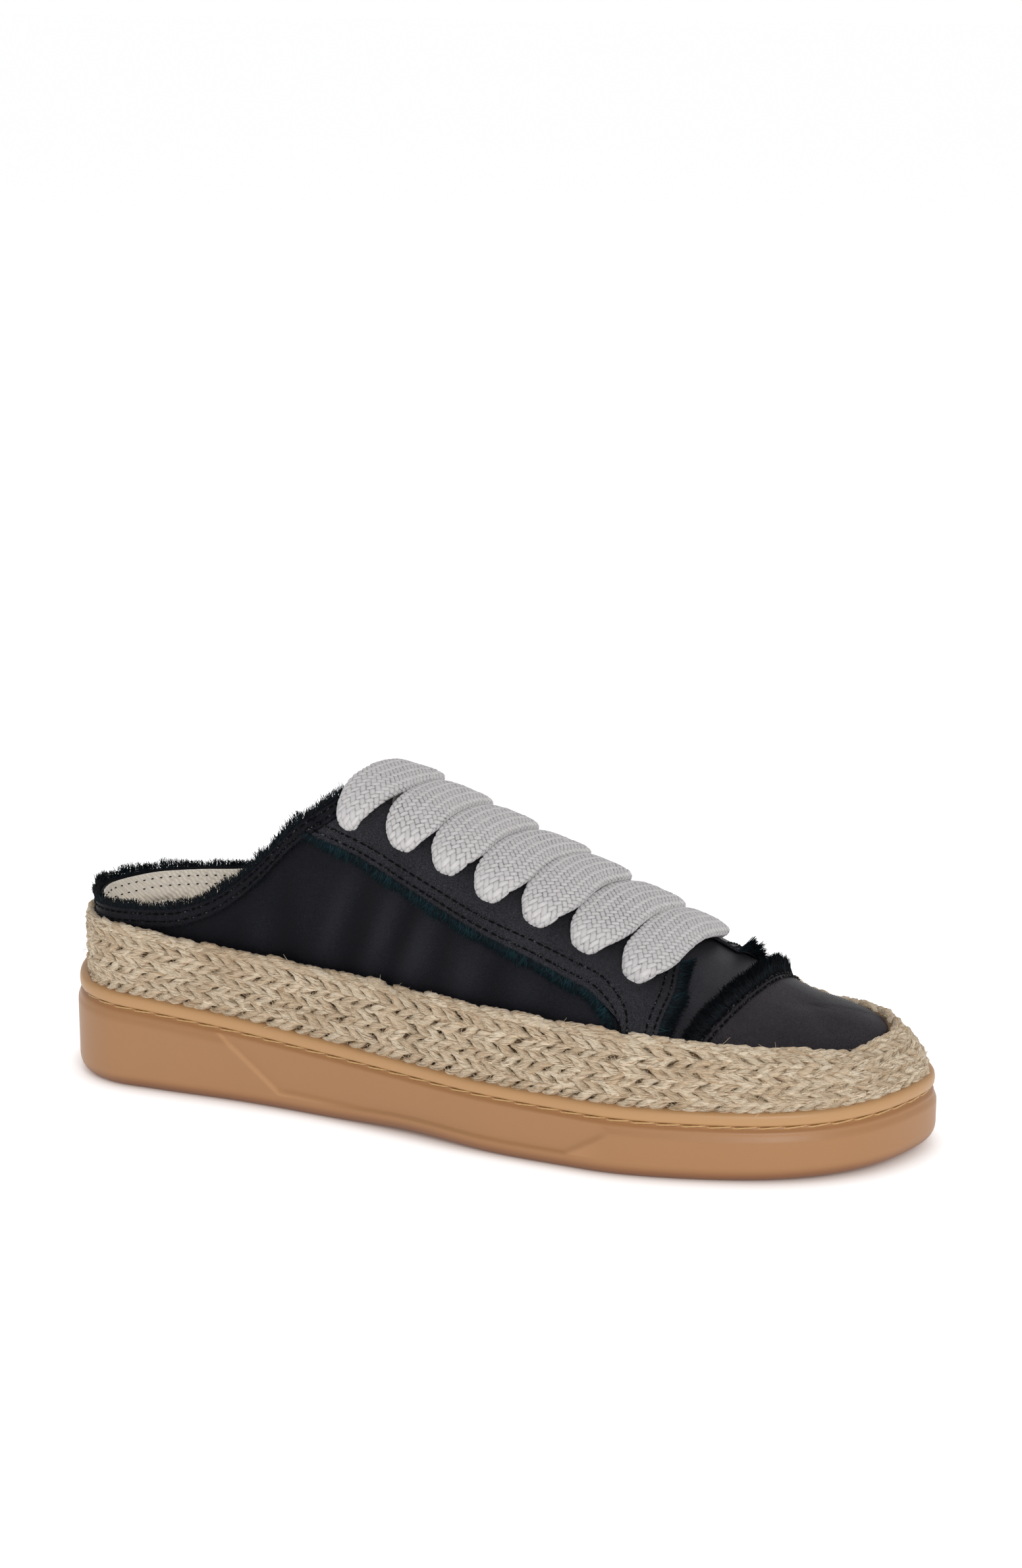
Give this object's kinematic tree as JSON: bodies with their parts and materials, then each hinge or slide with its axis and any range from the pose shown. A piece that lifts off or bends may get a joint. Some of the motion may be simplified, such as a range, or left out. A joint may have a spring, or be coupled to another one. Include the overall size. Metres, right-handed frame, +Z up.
{
  "type": "backless lace-up sneaker",
  "caption": "Backless mule sneaker with black satin upper, frayed edges, wide flat lace, braided jute midsole and gum cup sole.",
  "frame": {"origin": "on the floor under the middle of the sole's length and width", "axes": "+X from heel to toe, +Y to the inner side of the foot, +Z up"},
  "size_m": [0.275, 0.0995, 0.1043],
  "materials": {
    "gum": "satin",
    "jute": "braided",
    "linen": "plain weave",
    "satin": "satin twill",
    "frayed": "frayed",
    "lace": "woven"
  },
  "bodies": {
    "root": {"outsole": "gum", "midsole_jute": "jute", "insole": "linen", "upper": "satin", "tongue": "satin", "toe_cap": "satin", "toe_cap_fringe": "frayed", "collar_band": "frayed", "facing_lateral": "satin", "facing_medial": "satin", "facing_fringe_lateral": "frayed", "facing_fringe_medial": "frayed", "lace": "lace"}
  },
  "joints": []
}
